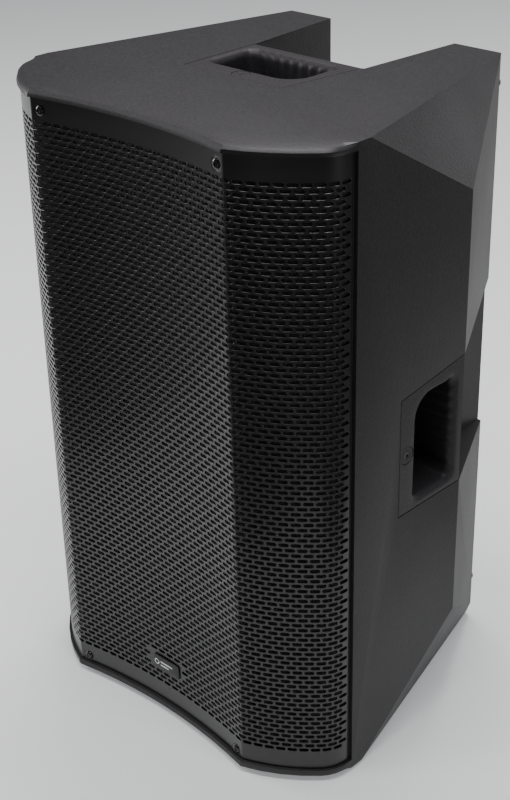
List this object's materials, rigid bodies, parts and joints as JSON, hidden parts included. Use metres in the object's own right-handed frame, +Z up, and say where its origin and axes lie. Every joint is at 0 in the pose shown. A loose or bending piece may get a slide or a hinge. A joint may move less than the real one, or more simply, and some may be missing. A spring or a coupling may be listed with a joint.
{
  "type": "pa speaker cabinet",
  "caption": "Moulded powered loudspeaker with a curved perforated grille, inset hand grips, a rear panel between two arms and a blind socket for a stand pole.",
  "frame": {"origin": "bottom centre of the bounding box, on the floor under the rubber feet", "axes": "+Z up, -Y towards the listener (front grille), +X to the right seen from the front"},
  "size_m": [0.438, 0.4001, 0.7],
  "materials": {
    "moulded_shell": "fine grained black moulded plastic",
    "handle_plastic": "smooth satin black moulded plastic",
    "painted_steel": "satin black powder coat on perforated steel",
    "foam": "open cell black foam",
    "black_screw": "gloss black plated screw",
    "badge_aluminium": "black lacquered plate with a plain raised mark",
    "baffle_board": "black structural board",
    "panel_paint": "fine textured black paint",
    "anodised": "black anodised extrusion",
    "zinc_steel": "bright zinc plated sheet",
    "circuit_board": "green solder mask",
    "gloss_plastic": "black moulded nylon",
    "soft_rubber": "black rubber",
    "cone_paper": "black pressed paper",
    "ferrite": "dark grey ferrite and blackened steel",
    "titanium": "bare light metal",
    "wadding": "white polyester wadding",
    "clear_lens": "translucent green lens",
    "lead_insulation": "red insulated lead"
  },
  "bodies": {
    "cabinet": {"cabinet_shell": "moulded_shell", "front_baffle": "baffle_board", "front_grille": "painted_steel", "grille_foam": "foam", "grille_screw_1": "black_screw", "grille_screw_2": "black_screw", "grille_screw_3": "black_screw", "grille_screw_4": "black_screw", "badge": "badge_aluminium", "top_handle": "handle_plastic", "side_handle_left": "handle_plastic", "side_handle_right": "handle_plastic", "top_handle_screw": "black_screw", "side_handle_left_screw": "black_screw", "side_handle_right_screw": "black_screw", "amp_plate": "panel_paint", "heatsink": "anodised", "amp_chassis": "zinc_steel", "power_supply_board": "circuit_board", "amplifier_board": "circuit_board", "input_board": "circuit_board", "mains_inlet": "gloss_plastic", "switch_bezel": "gloss_plastic", "combo_jack_left": "gloss_plastic", "combo_jack_right": "gloss_plastic", "link_jack": "gloss_plastic", "power_light": "clear_lens", "woofer_basket": "panel_paint", "woofer_magnet": "ferrite", "woofer_surround": "soft_rubber", "woofer_spider": "cone_paper", "hf_horn": "gloss_plastic", "compression_driver": "ferrite", "port_tube_left": "gloss_plastic", "port_tube_right": "gloss_plastic", "rubber_foot_front_left": "soft_rubber", "rubber_foot_front_right": "soft_rubber", "rubber_foot_rear_left": "soft_rubber", "rubber_foot_rear_right": "soft_rubber", "rear_bumper_lower_left": "soft_rubber", "rear_bumper_lower_right": "soft_rubber", "rear_bumper_upper_left": "soft_rubber", "rear_bumper_upper_right": "soft_rubber", "pole_socket": "handle_plastic", "wadding_left": "wadding", "wadding_right": "wadding", "woofer_lead": "lead_insulation", "horn_lead": "lead_insulation"},
    "cone_assembly": {"woofer_cone": "cone_paper", "dust_cap": "cone_paper", "voice_coil": "titanium"},
    "diaphragm": {"hf_diaphragm": "titanium"},
    "rocker": {"power_rocker": "gloss_plastic"},
    "left_level_knob": {"knob_left_level": "soft_rubber"},
    "right_level_knob": {"knob_right_level": "soft_rubber"},
    "main_level_knob": {"knob_main_level": "soft_rubber"},
    "button": {"mode_button": "gloss_plastic"},
    "latch_left": {"jack_latch_left": "gloss_plastic"},
    "latch_right": {"jack_latch_right": "gloss_plastic"},
    "fuse_tray": {"fuse_drawer": "gloss_plastic"}
  },
  "joints": [
    {"name": "woofer_travel", "type": "slide", "parent": "cabinet", "child": "cone_assembly", "axis": [0, -1, 0], "range_m": [-0.006, 0.006], "stiffness_N_per_m": 8000, "deforming": ["woofer_surround", "woofer_spider"]},
    {"name": "diaphragm_travel", "type": "slide", "parent": "cabinet", "child": "diaphragm", "axis": [0, -1, 0], "range_m": [-0.0003, 0.0003], "stiffness_N_per_m": 2000},
    {"name": "power_rock", "type": "hinge", "parent": "cabinet", "child": "rocker", "pos_m": [0.034, 0.0601, 0.155], "axis": [1, 0, 0], "range_deg": [0, 18]},
    {"name": "left_level_turn", "type": "hinge", "parent": "cabinet", "child": "left_level_knob", "pos_m": [-0.04, 0.0636, 0.325], "axis": [0, 1, 0], "range_deg": [-150, 150]},
    {"name": "right_level_turn", "type": "hinge", "parent": "cabinet", "child": "right_level_knob", "pos_m": [0, 0.0636, 0.325], "axis": [0, 1, 0], "range_deg": [-150, 150]},
    {"name": "main_level_turn", "type": "hinge", "parent": "cabinet", "child": "main_level_knob", "pos_m": [0.04, 0.0636, 0.325], "axis": [0, 1, 0], "range_deg": [-150, 150]},
    {"name": "mode_press", "type": "slide", "parent": "cabinet", "child": "button", "axis": [0, -1, 0], "range_m": [0, 0.0015], "stiffness_N_per_m": 300},
    {"name": "latch_left_press", "type": "slide", "parent": "cabinet", "child": "latch_left", "axis": [0, -1, 0], "range_m": [0, 0.0014], "stiffness_N_per_m": 300},
    {"name": "latch_right_press", "type": "slide", "parent": "cabinet", "child": "latch_right", "axis": [0, -1, 0], "range_m": [0, 0.0014], "stiffness_N_per_m": 300},
    {"name": "fuse_pull", "type": "slide", "parent": "cabinet", "child": "fuse_tray", "axis": [0, 1, 0], "range_m": [0, 0.012]}
  ]
}
